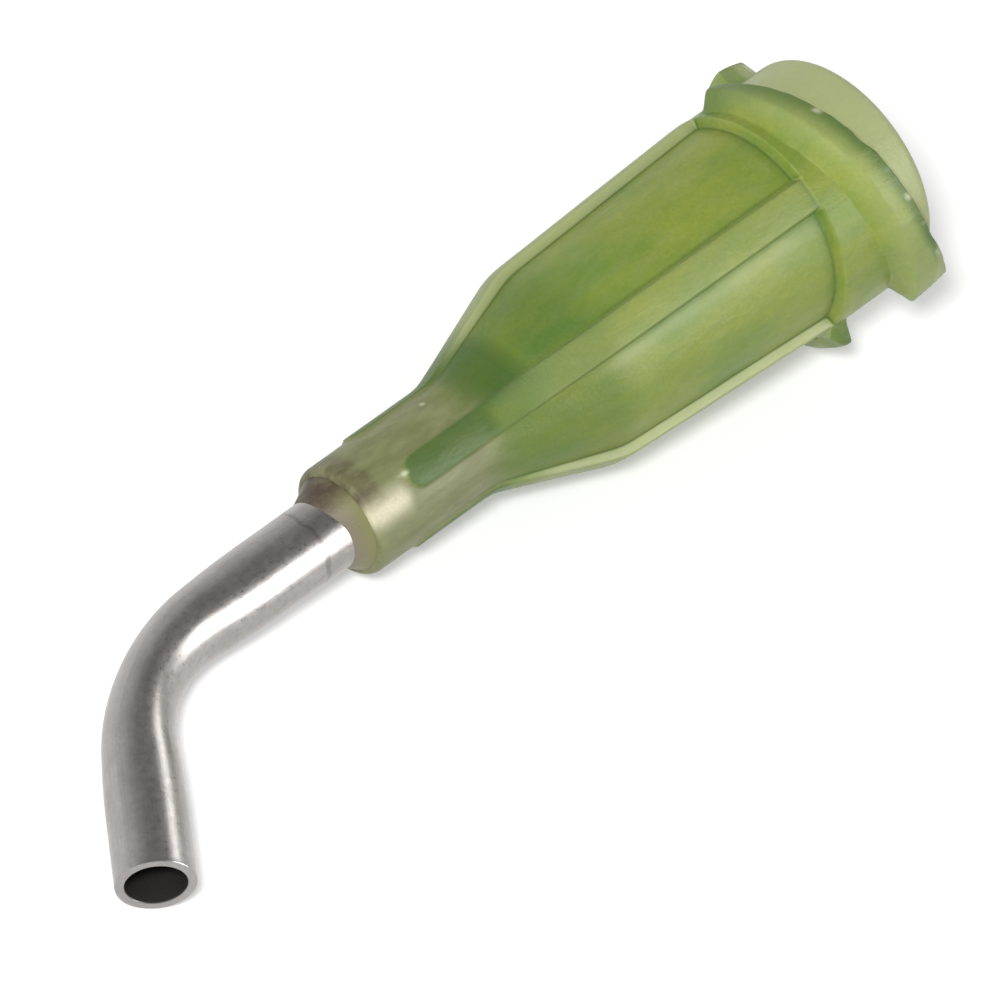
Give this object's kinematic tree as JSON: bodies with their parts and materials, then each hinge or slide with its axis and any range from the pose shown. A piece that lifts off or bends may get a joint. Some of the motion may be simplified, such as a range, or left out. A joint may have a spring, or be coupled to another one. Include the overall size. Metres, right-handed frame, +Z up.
{
  "type": "dispensing needle tip",
  "caption": "Bent dispensing needle tip: a steel tube bonded into a translucent ribbed plastic hub with a Luer-lock socket, for dispensing fluids in electronics assembly.",
  "frame": {"origin": "centre of the bounding box's bottom face, on the table the tip lies on", "axes": "+X along the hub's length towards the rim, +Z up from the table; the tube bends towards -Y"},
  "size_m": [0.0314, 0.0098, 0.0078],
  "materials": {
    "hub": "satin, slightly translucent olive green",
    "needle_tube": "drawn stainless, satin",
    "adhesive": "clear amber, cured"
  },
  "bodies": {
    "root": {"hub": "hub", "needle_tube": "needle_tube", "adhesive": "adhesive"}
  },
  "joints": []
}
